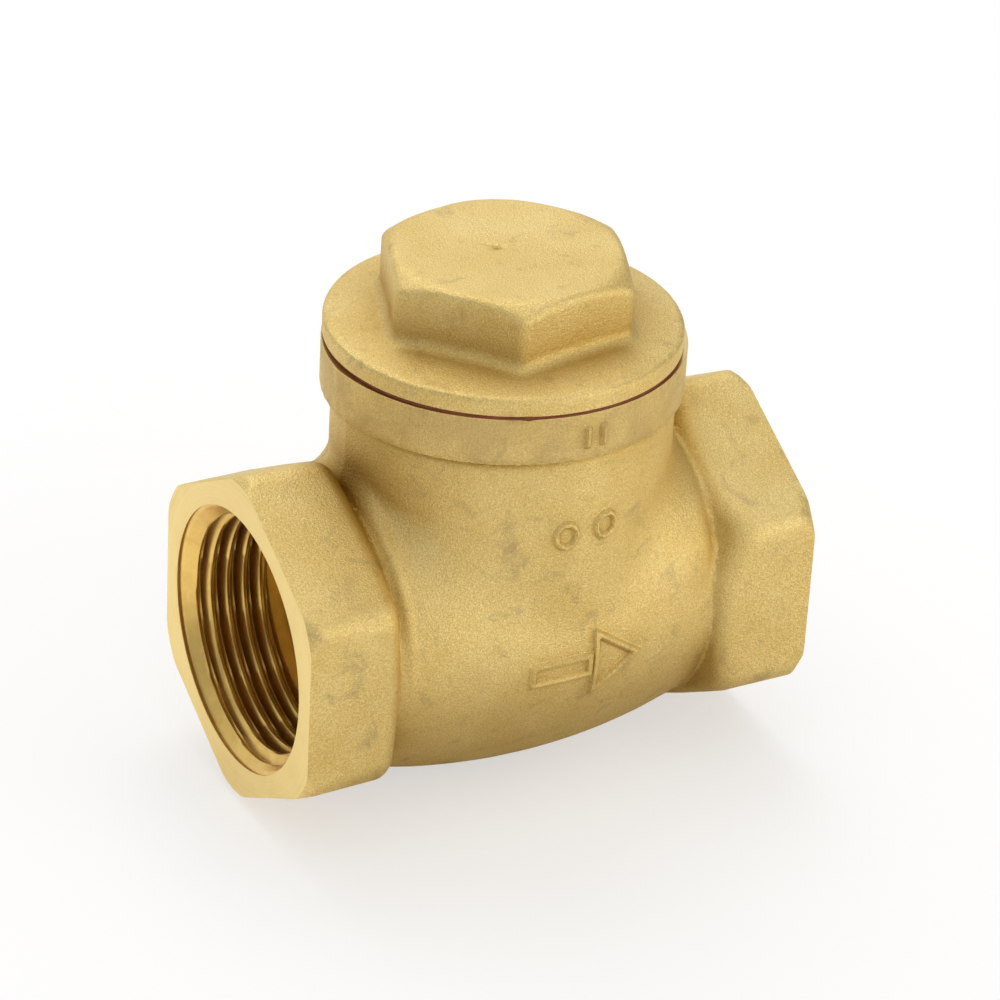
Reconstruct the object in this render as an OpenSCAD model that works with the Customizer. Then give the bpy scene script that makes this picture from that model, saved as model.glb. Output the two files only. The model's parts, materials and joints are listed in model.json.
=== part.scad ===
// Screwed brass swing check valve, one inch, with hexagon ends and a screwed cap.
// Millimetres. Origin: centre of the inlet end face. +X: flow direction. +Z: up the neck.

/* [Ends] */
// Length over the two end faces
body_len = 71.5; // [70:0.5:76]
// Width across the flats of the hexagon ends
hex_af = 40.1; // [39:0.1:42]
// Length of each hexagon end
hex_len = 13; // [12:0.5:14]
// Radius of the turned corner at each end face
end_corner_r = 21.8; // [21.2:0.1:22.6]
// Depth of the pipe thread
port_depth = 14.5; // [13.5:0.5:15.5]
// Radius of the chamfer at the mouth of each port
mouth_r = 17.2; // [16.8:0.1:17.6]
// Depth of that chamfer
mouth_depth = 0.9; // [0.6:0.1:1.5]

/* [Body shape] */
// Largest radius of the barrel between the ends
belly_r = 22.9; // [22.5:0.1:23]
// Radius of the neck
neck_r = 22.05; // [21.85:0.05:22.35]
// Shift of the forged neck towards the outlet
neck_shift = 0.55; // [0:0.05:0.8]
// Radius of the collar on top of the neck
collar_r = 23.25; // [23.05:0.05:23.45]
// Height of the collar underside above the pipe axis
collar_z = 29.2; // [28.5:0.1:30]
// Height of the machined collar top above the pipe axis
collar_top_z = 35.15; // [34.95:0.05:35.35]

/* [Cap] */
// Width across the flats of the cap hexagon
cap_af = 29.3; // [28:0.1:30]
// Turn of the cap hexagon when tight
cap_turn = 8.6; // [0:0.1:60]
// Height of the cap hexagon top above the pipe axis
cap_top_z = 47; // [46:0.1:47.5]
// Radius of the cap flange
flange_r = 22.4; // [21.5:0.1:22.6]
// Thickness of the fibre gasket
gasket_t = 0.6; // [0.5:0.1:0.8]
// Length of the threaded skirt
skirt_len = 7.6; // [7:0.1:8]

/* [Seat and flap] */
// Radius of the seat opening
seat_r = 11.5; // [10.5:0.1:11.5]
// Radius of the disc
disc_r = 14; // [13.9:0.1:14.1]
// Radius of the hinge pin
pin_r = 2; // [1.8:0.1:2.2]
// Angle the flap is drawn at, 0 is closed
flap_angle = 0; // [0:1:65]

/* [Hidden] */
$fn = 96;
eps = 0.01;
running = 0.08;
fixed = 0.04;

// Wall of the G1 pipe thread, at its minor radius
port_r = 15.146;
// Neck axis position along the pipe
neck_x = body_len / 2;
hex_corner_r = hex_af / sqrt(3);
// Bore of the chamber and of the cap thread
chamber_r = 17;
cap_thread_r = 17.6;
belly_arc = 83;
// How far each forged half is set back from the parting plane, y = 0
barrel_draft = 1.5;
neck_draft = 1.1;
// Seat plane and hinge axis
seat_x = neck_x - 12.5;
web_x = seat_x - 1.5;
pin_x = neck_x - 11;
pin_z = 18.5;
lug_y = 9.5;
web_top_z = 14.5;
plug_r = 3.7;
plug_face_y = 17;
plug_floor_y = 12;
gasket_z = collar_top_z;
flange_z = gasket_z + gasket_t;
flange_edge_z = flange_z + 1.85;
hex_z = flange_z + 3.2;

// Positions along the stem, measured from the seat plane
disc_back = 4;
stem_shoulder = 5.6;
arm_front = 5.7;
arm_t = 3.5;
washer_x = arm_front + arm_t + 0.1;
washer_t = 1;
nut_t = 4;
stem_r = 3;

brass_forged = [0.80, 0.65, 0.36];
brass_cut = [0.88, 0.75, 0.45];

// A cylinder along the pipe axis from x = a to x = b
module along(a, b, r, r_end = -1) {
  translate([a, 0, 0])
    rotate([0, 90, 0])
      cylinder(h = b - a, r1 = r, r2 = r_end < 0 ? r : r_end);
}

// A hexagonal bar along the pipe axis with a corner on top
module hex_bar(a, b, af) {
  translate([a, 0, 0])
    rotate([0, 90, 0])
      cylinder(h = b - a, r = af / sqrt(3), $fn = 6);
}

// One hexagon end, face at x = 0, body on the +X side
module hex_end() {
  shoulder = 3;
  intersection() {
    hex_bar(0, hex_len, hex_af);
    union() {
      along(0, 2, end_corner_r, hex_corner_r + 0.4);
      along(2 - eps, hex_len - shoulder, hex_corner_r + 0.4);
      along(hex_len - shoulder - eps, hex_len, hex_corner_r + 0.4, hex_corner_r - 2.6);
    }
  }
}

// A round shape drafted from the parting plane: the overlap of two copies moved apart in y
module drafted(draft) {
  intersection() {
    translate([0, draft, 0])
      children();
    translate([0, -draft, 0])
      children();
  }
}

// The bulged barrel between the hexagon ends, grown by extra
module barrel(extra = 0) {
  half = neck_x - hex_len + 1;
  translate([neck_x, 0, 0])
    drafted(barrel_draft)
      rotate([0, 90, 0])
        rotate_extrude()
          intersection() {
            translate([belly_r - belly_arc, 0])
              circle(r = belly_arc + extra, $fn = 360);
            translate([0, -half])
              square([belly_r + 1, 2 * half]);
          }
}

// The neck below its collar, grown by extra
module neck(extra = 0) {
  translate([neck_x + neck_shift, 0, 0])
    drafted(neck_draft)
      cylinder(h = collar_z + 1, r = neck_r + extra);
}

module collar(extra = 0) {
  translate([neck_x + neck_shift / 2, 0, collar_z])
    drafted(neck_draft)
      cylinder(h = collar_top_z - collar_z, r = collar_r + extra);
}

// Raised flow arrow, two round pips and two short bars on the front
module relief() {
  height = 0.35;
  intersection() {
    union() {
      barrel(height);
      neck(height);
    }
    translate([neck_x + 2, -15, -1.2])
      rotate([90, 0, 0])
        linear_extrude(height = 15)
          polygon([[-7.8, -1.7], [1, -1.7], [1, -5], [8.2, 0], [1, 5], [1, 1.7], [-7.8, 1.7]]);
  }
  intersection() {
    neck(height);
    for (p = [[-1.7, 17.9], [3.8, 18.3]]) {
      translate([neck_x + p[0], -15, p[1]])
        rotate([90, 0, 0])
          cylinder(h = 15, r = 1.8, $fn = 48);
    }
  }
  intersection() {
    collar(height);
    for (x = [-0.8, 1.4]) {
      translate([neck_x + x, -30, collar_z + 1.4])
        cube([0.8, 20, 2.8]);
    }
  }
}

// Port at an end face, face at x = 0, cut towards +X
module port_cut() {
  along(-1, port_depth, port_r);
  along(-eps, mouth_depth, mouth_r, port_r);
  along(port_depth - 2.2, port_depth, port_r + 1.6);
}

// The flow chamber behind the seat, leaving the web, the seat lip and the pin lugs
module chamber_cut() {
  difference() {
    union() {
      along(web_x - 3, neck_x + 14, chamber_r + 1.2);
      along(neck_x + 14 - eps, body_len - port_depth + eps, chamber_r + 1.2, 14.2);
      translate([neck_x, 0, 0])
        cylinder(h = 30, r = chamber_r);
    }
    translate([0, -30, -30])
      cube([web_x, 60, 30 + web_top_z]);
    along(web_x - 1, seat_x, seat_r + 1.8);
    for (y = [-30, lug_y]) {
      translate([pin_x - 4, y, web_top_z - 1.5])
        cube([8, 30 - lug_y, pin_z + 4 - web_top_z + 1.5]);
    }
  }
}

module body() {
  color(brass_forged)
    difference() {
      union() {
        hex_end();
        translate([body_len, 0, 0])
          mirror([1, 0, 0])
            hex_end();
        barrel();
        neck();
        collar();
        relief();
      }
      port_cut();
      translate([body_len, 0, 0])
        mirror([1, 0, 0])
          port_cut();
      along(port_depth - 1, seat_x + 5, seat_r);
      chamber_cut();
      // Cap thread and its lead chamfer
      translate([neck_x, 0, 26]) {
        cylinder(h = 12, r = cap_thread_r);
        translate([0, 0, collar_top_z - 26 - 1])
          cylinder(h = 1 + eps, r1 = cap_thread_r, r2 = cap_thread_r + 1);
      }
      // Hinge pin hole, blind in front
      translate([pin_x, -14.6, pin_z])
        rotate([-90, 0, 0])
          cylinder(h = 30, r = pin_r + fixed);
      // Plug hole and spot face at the back
      translate([pin_x, plug_floor_y, pin_z])
        rotate([-90, 0, 0])
          cylinder(h = 20, r = plug_r + fixed);
      translate([pin_x, plug_face_y, pin_z])
        rotate([-90, 0, 0])
          cylinder(h = 20, r = plug_r + 1);
    }
}

module cap() {
  top_r = cap_af / sqrt(3);
  color(brass_forged)
    translate([neck_x, 0, 0])
      difference() {
        union() {
          intersection() {
            rotate([0, 0, cap_turn])
              translate([0, 0, hex_z - 2])
                cylinder(h = cap_top_z - hex_z + 2, r = top_r, $fn = 6);
            union() {
              translate([0, 0, hex_z - 2])
                cylinder(h = cap_top_z - hex_z, r = top_r + 1);
              translate([0, 0, cap_top_z - 2 - eps])
                cylinder(h = 2 + eps, r1 = top_r + 1, r2 = top_r - 2.5);
            }
          }
          rotate_extrude()
            polygon([
              [0, flange_z], [flange_r, flange_z], [flange_r, flange_edge_z],
              [flange_r - 0.35, flange_edge_z + 0.35], [16.2, hex_z], [0, hex_z]
            ]);
          translate([0, 0, flange_z - skirt_len])
            cylinder(h = skirt_len + 1, r = cap_thread_r - 0.05);
        }
        translate([0, 0, flange_z - skirt_len - 1])
          cylinder(h = skirt_len + 1 + 3, r = 13);
        translate([0, 0, flange_z + 3 - eps])
          cylinder(h = 2.5, r1 = 13, r2 = 8);
      }
}

module cap_gasket() {
  color([0.36, 0.12, 0.09])
    translate([neck_x, 0, gasket_z])
      difference() {
        cylinder(h = gasket_t, r = flange_r - 0.15);
        translate([0, 0, -1])
          cylinder(h = gasket_t + 2, r = cap_thread_r + 0.15);
      }
}

module hinge_pin() {
  color([0.72, 0.73, 0.75])
    translate([pin_x, -14.5, pin_z])
      rotate([-90, 0, 0])
        cylinder(h = 26.5, r = pin_r);
}

module pin_plug() {
  color(brass_cut)
    difference() {
      translate([pin_x, plug_floor_y + 0.1, pin_z])
        rotate([-90, 0, 0])
          cylinder(h = plug_face_y - plug_floor_y - 0.3, r = plug_r);
      translate([pin_x - 5, plug_face_y - 1.9, pin_z - 0.6])
        cube([10, 3, 1.2]);
    }
}

// Places a flap piece drawn for the closed position
module on_flap() {
  translate([pin_x, 0, pin_z])
    rotate([0, -flap_angle, 0])
      translate([-pin_x, 0, -pin_z])
        children();
}

module hinge_arm() {
  front = seat_x + arm_front;
  eye_r = 6.5;
  color(brass_cut)
    on_flap()
      difference() {
        union() {
          // Wide hub on the pin
          translate([pin_x, -lug_y + 0.2, pin_z])
            rotate([-90, 0, 0])
              cylinder(h = 2 * lug_y - 0.4, r = 3.2);
          // Web between the hub and the eye
          translate([0, 4, 0])
            rotate([90, 0, 0])
              linear_extrude(height = 8)
                polygon([
                  [pin_x - 0.5, pin_z + 3.1], [pin_x + 2.6, pin_z + 1.8],
                  [front + arm_t, 13.5], [front + arm_t, 0], [front, 0], [front, 14.6],
                  [pin_x + 0.5, pin_z - 2.9]
                ]);
          // Eye around the stem
          along(front, front + arm_t, eye_r);
        }
        along(front - 1, front + arm_t + 1, stem_r + running);
        translate([pin_x, -20, pin_z])
          rotate([-90, 0, 0])
            cylinder(h = 40, r = pin_r + running);
      }
}

module disc() {
  color(brass_cut)
    on_flap()
      difference() {
        union() {
          along(seat_x + 0.4, seat_x + disc_back - 0.8, disc_r);
          along(seat_x + disc_back - 0.8 - eps, seat_x + disc_back, disc_r, disc_r - 0.8);
          along(seat_x + disc_back - eps, seat_x + stem_shoulder, 5.2);
          along(seat_x + disc_back, seat_x + washer_x + washer_t + nut_t + 0.9, stem_r);
          along(seat_x + washer_x + washer_t + nut_t + 0.9 - eps,
                seat_x + washer_x + washer_t + nut_t + 1.4, stem_r, stem_r - 0.5);
        }
        along(seat_x - 1, seat_x + 2.2, 13.1);
        along(seat_x - 1, seat_x + 8, 2 + fixed);
      }
}

module disc_seal() {
  color([0.09, 0.09, 0.10])
    on_flap()
      difference() {
        along(seat_x, seat_x + 2.2, 13.05);
        along(seat_x - 1, seat_x + 4, 3.2);
      }
}

module seal_plate() {
  color(brass_cut)
    on_flap()
      difference() {
        union() {
          along(seat_x - 0.4, seat_x, 8.5);
          along(seat_x - 1.2, seat_x - 0.4 + eps, 7.7, 8.5);
          along(seat_x - eps, seat_x + 2.2, 3.1);
        }
        along(seat_x - 2, seat_x + 4, 2 + fixed);
      }
}

module seal_screw() {
  head = seat_x - 1.2;
  color([0.72, 0.73, 0.75])
    on_flap()
      difference() {
        union() {
          along(head - 1.6, head, 3.5);
          along(head - 2, head - 1.6 + eps, 3.0, 3.5);
          along(head - eps, seat_x + 7.6, 2);
        }
        translate([head - 3, -0.5, -5])
          cube([2, 1, 10]);
      }
}

module disc_washer() {
  color([0.72, 0.73, 0.75])
    on_flap()
      difference() {
        along(seat_x + washer_x, seat_x + washer_x + washer_t, 5.6);
        along(seat_x + washer_x - 1, seat_x + washer_x + washer_t + 1, stem_r + fixed);
      }
}

module disc_nut() {
  start = seat_x + washer_x + washer_t;
  color(brass_cut)
    on_flap()
      difference() {
        intersection() {
          hex_bar(start, start + nut_t, 10);
          union() {
            along(start, start + 0.6, 5.1, 5.9);
            along(start + 0.6 - eps, start + nut_t - 0.6 + eps, 5.9);
            along(start + nut_t - 0.6, start + nut_t, 5.9, 5.1);
          }
        }
        along(start - 1, start + nut_t + 1, stem_r + fixed);
      }
}

body();
cap();
cap_gasket();
hinge_pin();
pin_plug();
hinge_arm();
disc();
disc_seal();
seal_plate();
seal_screw();
disc_washer();
disc_nut();
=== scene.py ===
"""A one inch brass swing check valve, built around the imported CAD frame.

Lengths are in millimetres until a mesh is made. A solid is written as a function of x, y, z
that is negative inside, positive outside and close to the distance near the surface.
"""
import json
import math

import bmesh
import bpy
import numpy as np
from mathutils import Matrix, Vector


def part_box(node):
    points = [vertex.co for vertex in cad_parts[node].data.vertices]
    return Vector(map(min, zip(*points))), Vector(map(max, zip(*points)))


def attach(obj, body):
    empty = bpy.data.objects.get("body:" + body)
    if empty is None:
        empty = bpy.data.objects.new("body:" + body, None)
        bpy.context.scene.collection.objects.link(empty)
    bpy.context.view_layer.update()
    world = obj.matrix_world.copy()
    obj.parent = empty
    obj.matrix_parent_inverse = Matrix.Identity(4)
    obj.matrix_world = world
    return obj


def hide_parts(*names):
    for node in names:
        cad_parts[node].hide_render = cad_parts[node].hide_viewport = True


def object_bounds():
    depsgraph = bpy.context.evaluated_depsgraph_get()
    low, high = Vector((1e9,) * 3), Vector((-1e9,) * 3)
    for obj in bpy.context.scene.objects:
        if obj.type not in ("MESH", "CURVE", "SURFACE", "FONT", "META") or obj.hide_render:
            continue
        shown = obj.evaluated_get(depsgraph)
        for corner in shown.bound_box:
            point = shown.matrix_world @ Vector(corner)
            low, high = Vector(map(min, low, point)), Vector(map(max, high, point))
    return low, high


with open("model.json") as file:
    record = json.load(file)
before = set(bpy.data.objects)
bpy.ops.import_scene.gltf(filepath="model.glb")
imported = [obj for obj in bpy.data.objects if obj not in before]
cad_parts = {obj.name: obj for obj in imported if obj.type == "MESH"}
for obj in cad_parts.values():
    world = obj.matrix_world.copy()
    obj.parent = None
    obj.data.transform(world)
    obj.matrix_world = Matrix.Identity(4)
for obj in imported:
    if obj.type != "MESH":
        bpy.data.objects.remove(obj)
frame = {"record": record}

import openvdb
from mathutils import Matrix, Vector

CAD_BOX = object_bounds()
MM = 0.001
MICRON = 0.000001
TAU = 2 * math.pi
CENTRE = 0.05  # a radius that stands for the middle of a turned profile
SIN_60 = 0.8660254
TAN_30 = 0.57735027
JOINTS = {j["name"]: j for j in frame["record"]["behaviour"]["joints"]}


def box_mm(node):
    lo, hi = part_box(node)
    return np.array(lo) * 1000, np.array(hi) * 1000


# Driving positions, all read from the frame
LENGTH = box_mm("body")[1][0]
NECK_X = JOINTS["cap_turn"]["pos_m"][0] * 1000
COLLAR_TOP = box_mm("cap_gasket")[0][2]
FLANGE_BASE = box_mm("cap_gasket")[1][2]
CAP_TOP = box_mm("cap")[1][2]
SKIRT_END = box_mm("cap")[0][2]
PIN_X = JOINTS["flap_swing"]["pos_m"][0] * 1000
PIN_Z = JOINTS["flap_swing"]["pos_m"][2] * 1000
PIN = (PIN_X, 0, PIN_Z)
SEAT_X = box_mm("disc_seal")[0][0]
ARM_FACE = SEAT_X + 5.7
PLUG_LO, PLUG_HI = box_mm("pin_plug")
HALF = LENGTH / 2

# Outside of the body: distances from the neck axis, and radii round the pipe or the neck
HEX_APOTHEM = 20.05
HEX_CORNER = 21.85
BARREL_BOW = 83.0
BARREL_OFFSET = 60.1
NECK_R = 22.05
NECK_SHIFT = 0.56
DRAFT = 1.1
COLLAR_R = 23.27
COLLAR_BASE = 28.85
GROOVE_X = 22.4
GROOVE_R = 19.4

# Inside of the body
WEB_X = SEAT_X - 1.5
WEB_TOP = 14.5
CHAMBER_R = 17.0
BARREL_BORE = 18.2
SEAT_R = 11.5
PIPE_PITCH = 25.4 / 11
PIPE_CREST = 15.146
PIPE_ROOT = 16.625
THREAD_DEPTH = 12.3
RELIEF_DEPTH = 14.5
RELIEF_R = 16.75
NECK_MOUTH = 18.3
ARM_T = 3.5
CAP_PITCH = JOINTS["cap_lift"]["range_m"][1] * 1000 / (JOINTS["cap_turn"]["range_deg"][1] / 360)


# ---------------------------------------------------------------- implicit surfaces

def rmax(a, b, r):
    """The overlap of two solids, its edge rounded to radius r."""
    return np.minimum(np.maximum(a, b), -r) + np.hypot(np.maximum(a + r, 0), np.maximum(b + r, 0))


def rmin(a, b, r):
    """The union of two solids, with a fillet of radius r."""
    return -rmax(-a, -b, r)


def fillet(a, b, c, r):
    """The union of two solids with a fillet of radius r; c is the cosine between their slopes."""
    u, v = r - a, r - b
    square = np.maximum(1 - c * c, 1e-3)
    inside = (u > c * v) & (v > c * u)
    ball = r - np.sqrt(np.maximum(u * u + v * v - 2 * c * u * v, 0) / square)
    return np.where(inside, ball, np.minimum(a, b))


def smax(a, b, k):
    """The overlap of two solids whose surfaces meet at a shallow angle, softened over a width k."""
    return np.maximum(a, b) + np.maximum(k - np.abs(a - b), 0) ** 2 / (4 * k)


def ease(t):
    t = np.clip(t, 0, 1)
    return t * t * (3 - 2 * t)


def waves(x, y, z, seed, period):
    """Gentle unevenness between -1 and 1, as a forging has."""
    rng = np.random.default_rng(seed)
    total = 0
    for _ in range(6):
        k = rng.normal(size=3)
        k *= TAU / (period * rng.uniform(0.7, 1.5)) / np.linalg.norm(k)
        total = total + np.sin(k[0] * x + k[1] * y + k[2] * z + rng.uniform(0, TAU))
    return total / 6


def hexagon(u, v, apothem, turn, r):
    """A hexagonal bar with one flat facing the angle turn, and corners of radius r."""
    c, s = math.cos(turn), math.sin(turn)
    p, q = np.abs(v * c - u * s), np.abs(u * c + v * s)
    fold = np.minimum(q * 0.5 - p * SIN_60, 0)
    p, q = p + 2 * SIN_60 * fold, q - fold
    side = (apothem - r) * TAN_30
    p, q = p - np.clip(p, -side, side), q - (apothem - r)
    return np.hypot(p, q) * np.sign(q) - r


def skin(f, lo, hi, h):
    """Points and faces of the surface where f is zero, from a grid of step h."""
    axes = [np.arange(a, b + h, h) for a, b in zip(lo, hi)]
    x, y, z = np.meshgrid(*axes, indexing="ij", sparse=True)
    values = (f(x, y, z) + 0 * (x + y + z)).astype(np.float32)
    grid = openvdb.FloatGrid(3 * h)
    grid.copyFromArray(values)
    points, tris, quads = grid.convertToPolygons(0.0, 0.0)
    points = points.astype(float) * h + np.array(lo)
    faces = [tuple(int(i) for i in q) for q in quads] + [tuple(int(i) for i in t) for t in tris]
    return settle(f, points, 4), faces


def settle(f, p, steps):
    """Moves points along the slope of f until f is zero at each."""
    e = 0.03
    for _ in range(steps):
        value = f(p[:, 0], p[:, 1], p[:, 2])
        slope = np.stack([
            (f(p[:, 0] + e * (i == 0), p[:, 1] + e * (i == 1), p[:, 2] + e * (i == 2))
             - f(p[:, 0] - e * (i == 0), p[:, 1] - e * (i == 1), p[:, 2] - e * (i == 2))) / (2 * e)
            for i in range(3)], 1)
        step = value / np.maximum((slope ** 2).sum(1), 0.2)
        p = p - slope * np.clip(step, -0.4, 0.4)[:, None]
    return p


# ---------------------------------------------------------------- meshes

def add_object(name, points, faces, slots=1, material=0):
    """A mesh object from points in millimetres, with its normals facing out."""
    mesh = bpy.data.meshes.new(name)
    mesh.from_pydata((np.asarray(points, float) * MM).tolist(), [], faces)
    for _ in range(slots):
        mesh.materials.append(None)
    mesh.polygons.foreach_set("material_index", [material] * len(mesh.polygons))
    obj = bpy.data.objects.new(name, mesh)
    bpy.context.scene.collection.objects.link(obj)
    bm = bmesh.new()
    bm.from_mesh(mesh)
    bmesh.ops.recalc_face_normals(bm, faces=bm.faces)
    if bm.calc_volume(signed=True) < 0:
        bmesh.ops.reverse_faces(bm, faces=bm.faces)
    bm.to_mesh(mesh)
    bm.free()
    return obj


def stack(name, axis, stations, radius, segments=96, origin=(0, 0, 0), material=0, closed=False):
    """A solid round an axis, with radius(s, angles) at each station s along it.

    A station may also be a pair (s, radius). The ends are capped, or joined if closed.
    """
    angles = np.arange(segments) / segments * TAU
    u, v = {"x": (1, 2), "y": (2, 0), "z": (0, 1)}[axis]
    w = "xyz".index(axis)
    points = []
    for s in stations:
        s, r = (s[0], s[1]) if isinstance(s, tuple) else (s, None)
        r = np.broadcast_to(radius(s, angles) if r is None else r, angles.shape)
        ring = np.zeros((segments, 3))
        ring[:, u] = r * np.cos(angles)
        ring[:, v] = r * np.sin(angles)
        ring[:, w] = s
        points.append(ring)
    n = len(stations)
    rows = range(n if closed else n - 1)
    faces = [(i * segments + j, i * segments + (j + 1) % segments,
              (i + 1) % n * segments + (j + 1) % segments, (i + 1) % n * segments + j)
             for i in rows for j in range(segments)]
    points = np.concatenate(points)
    if not closed:
        faces.append(tuple(range(segments))[::-1])
        faces.append(tuple(range((n - 1) * segments, n * segments)))
    return add_object(name, points + np.array(origin, float), faces, 4, material)


def turned(name, axis, profile, segments=96, origin=(0, 0, 0), material=0, closed=False):
    """A lathe solid: profile is a list of (position along the axis, radius)."""
    stations = [(float(s), float(r)) for s, r in profile]
    return stack(name, axis, stations, None, segments, origin, material, closed)


def steps(start, stop, step):
    """Evenly spaced stations along an axis."""
    return [float(s) for s in np.arange(start, stop, step)]


def block(name, lo, hi, material=0):
    x, y, z = zip(lo, hi)
    points = [(a, b, c) for a in x for b in y for c in z]
    faces = [(0, 1, 3, 2), (4, 6, 7, 5), (0, 4, 5, 1), (2, 3, 7, 6), (0, 2, 6, 4), (1, 5, 7, 3)]
    return add_object(name, points, faces, 4, material)


def combine(obj, operation, *tools):
    """obj with each tool cut away, joined or overlapped, in turn."""
    for tool in tools:
        m = obj.modifiers.new("b", "BOOLEAN")
        m.operation, m.object, m.solver = operation, tool, "MANIFOLD"
        bpy.context.view_layer.update()
        evaluated = obj.evaluated_get(bpy.context.evaluated_depsgraph_get())
        result = bpy.data.meshes.new_from_object(evaluated)
        obj.modifiers.clear()
        old, obj.data = obj.data, result
        name = old.name
        bpy.data.meshes.remove(old)
        result.name = name
        mesh = tool.data
        bpy.data.objects.remove(tool)
        bpy.data.meshes.remove(mesh)
    return obj


def cut(obj, *tools):
    return combine(obj, "DIFFERENCE", *tools)


def join(obj, *tools):
    return combine(obj, "UNION", *tools)


def finish_mesh(obj, materials, angle=28):
    """Clears faces with no area, then sets smooth shading with crisp edges, and the materials."""
    mesh = obj.data
    bm = bmesh.new()
    bm.from_mesh(mesh)
    bmesh.ops.dissolve_degenerate(bm, dist=MICRON, edges=bm.edges)
    bm.to_mesh(mesh)
    bm.free()
    mesh.polygons.foreach_set("use_smooth", [True] * len(mesh.polygons))
    mesh.set_sharp_from_angle(angle=math.radians(angle))
    used = np.zeros(len(mesh.polygons), int)
    mesh.polygons.foreach_get("material_index", used)
    mesh.materials.clear()
    for m in materials:
        mesh.materials.append(m)
    mesh.polygons.foreach_set("material_index", np.minimum(used, len(materials) - 1))
    mesh.update()
    return obj


def thread(pitch, crest, root):
    """The radius of a right-hand thread at position s and angle a."""
    def radius(s, a):
        t = (s / pitch - a / TAU) % 1.0
        rise = 1 - np.abs(2 * t - 1)
        return crest + (root - crest) * ease((rise - 0.12) / 0.78)
    return radius


# ---------------------------------------------------------------- materials

def new_material(name):
    m = bpy.data.materials.new(name)
    m.use_nodes = True
    m.node_tree.nodes.clear()
    return m, m.node_tree


class Nodes:
    """Short helpers for one material's node tree."""

    def __init__(self, tree):
        self.tree = tree
        coords = tree.nodes.new("ShaderNodeTexCoord")
        scale = tree.nodes.new("ShaderNodeVectorMath")
        scale.operation = "SCALE"
        scale.inputs["Scale"].default_value = 1000
        tree.links.new(coords.outputs["Object"], scale.inputs[0])
        self.mm = scale.outputs[0]

    def set(self, socket, value):
        if hasattr(value, "is_output"):
            self.tree.links.new(value, socket)
        else:
            socket.default_value = value

    def noise(self, scale, detail=2.0, rough=0.5, vector=None, distortion=0.0):
        n = self.tree.nodes.new("ShaderNodeTexNoise")
        n.inputs["Scale"].default_value = scale
        n.inputs["Detail"].default_value = detail
        n.inputs["Roughness"].default_value = rough
        n.inputs["Distortion"].default_value = distortion
        self.set(n.inputs["Vector"], vector or self.mm)
        return n.outputs["Fac"]

    def cells(self, scale):
        n = self.tree.nodes.new("ShaderNodeTexVoronoi")
        n.inputs["Scale"].default_value = scale
        self.set(n.inputs["Vector"], self.mm)
        return n.outputs["Distance"]

    def ramp(self, value, *stops):
        n = self.tree.nodes.new("ShaderNodeValToRGB")
        ramp = n.color_ramp
        while len(ramp.elements) < len(stops):
            ramp.elements.new(0.5)
        for e, (at, colour) in zip(ramp.elements, stops):
            e.position = at
            e.color = (colour,) * 3 + (1,) if isinstance(colour, (int, float)) else tuple(colour) + (1,)
        self.set(n.inputs["Fac"], value)
        return n.outputs["Color"]

    def maths(self, operation, a, b=0.0, c=0.0):
        n = self.tree.nodes.new("ShaderNodeMath")
        n.operation = operation
        for i, v in enumerate((a, b, c)):
            self.set(n.inputs[i], v)
        return n.outputs[0]

    def length(self, a, b):
        squares = self.maths("MULTIPLY_ADD", a, a, self.maths("MULTIPLY", b, b))
        return self.maths("SQRT", squares)

    def mix(self, factor, a, b):
        n = self.tree.nodes.new("ShaderNodeMix")
        n.data_type = "RGBA"
        self.set(n.inputs["Factor"], factor)
        for socket, v in ((n.inputs[6], a), (n.inputs[7], b)):
            self.set(socket, v if hasattr(v, "is_output") else tuple(v) + (1,))
        return n.outputs[2]

    def bump(self, height, distance, strength=1.0, normal=None):
        n = self.tree.nodes.new("ShaderNodeBump")
        n.inputs["Strength"].default_value = strength
        n.inputs["Distance"].default_value = distance * MM
        self.set(n.inputs["Height"], height)
        if normal is not None:
            self.set(n.inputs["Normal"], normal)
        return n.outputs[0]

    def edge(self, radius):
        n = self.tree.nodes.new("ShaderNodeBevel")
        n.samples = 4
        n.inputs["Radius"].default_value = radius * MM
        return n.outputs[0]

    # Ambient occlusion of the piece itself, used to paint shade into hollows and grooves.
    def occlusion_shade(self, distance):
        n = self.tree.nodes.new("ShaderNodeAmbientOcclusion")
        n.samples = 4
        n.only_local = True
        n.inputs["Distance"].default_value = distance * MM
        return n.outputs["AO"]

    def split(self):
        n = self.tree.nodes.new("ShaderNodeSeparateXYZ")
        self.set(n.inputs[0], self.mm)
        return n.outputs

    def finish(self, colour, metallic, rough, normal, **extra):
        s = self.tree.nodes.new("ShaderNodeBsdfPrincipled")
        self.set(s.inputs["Base Color"], colour)
        s.inputs["Metallic"].default_value = metallic
        self.set(s.inputs["Roughness"], rough)
        self.set(s.inputs["Normal"], normal)
        for key, value in extra.items():
            s.inputs[key.replace("_", " ")].default_value = value
        out = self.tree.nodes.new("ShaderNodeOutputMaterial")
        self.tree.links.new(s.outputs[0], out.inputs[0])


BRASS_LIGHT = (0.86, 0.685, 0.30)
BRASS_MID = (0.79, 0.60, 0.23)
BRASS_DEEP = (0.52, 0.33, 0.08)
STAIN = (0.31, 0.235, 0.14)


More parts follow.
